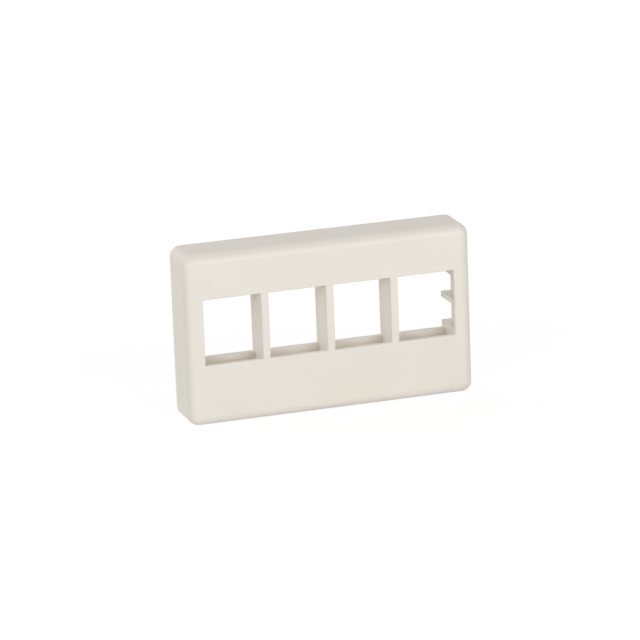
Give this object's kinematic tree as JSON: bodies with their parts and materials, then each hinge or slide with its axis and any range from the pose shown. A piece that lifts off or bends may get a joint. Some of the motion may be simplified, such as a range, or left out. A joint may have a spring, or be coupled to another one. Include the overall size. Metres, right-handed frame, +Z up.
{
  "type": "keystone faceplate",
  "caption": "Snap-in furniture faceplate: an open-backed moulded shell with rounded edges and a row of rectangular ports for keystone jacks.",
  "frame": {"origin": "plane of the rear rim, which seats on the furniture panel, at the middle of the plate's outline", "axes": "+X to the right seen from the front, +Z up, +Y into the panel; the face looks along -Y"},
  "size_m": [0.0732, 0.0171, 0.0428],
  "materials": {
    "moulding": "fine satin texture, light almond"
  },
  "bodies": {
    "root": {"faceplate": "moulding"}
  },
  "joints": []
}
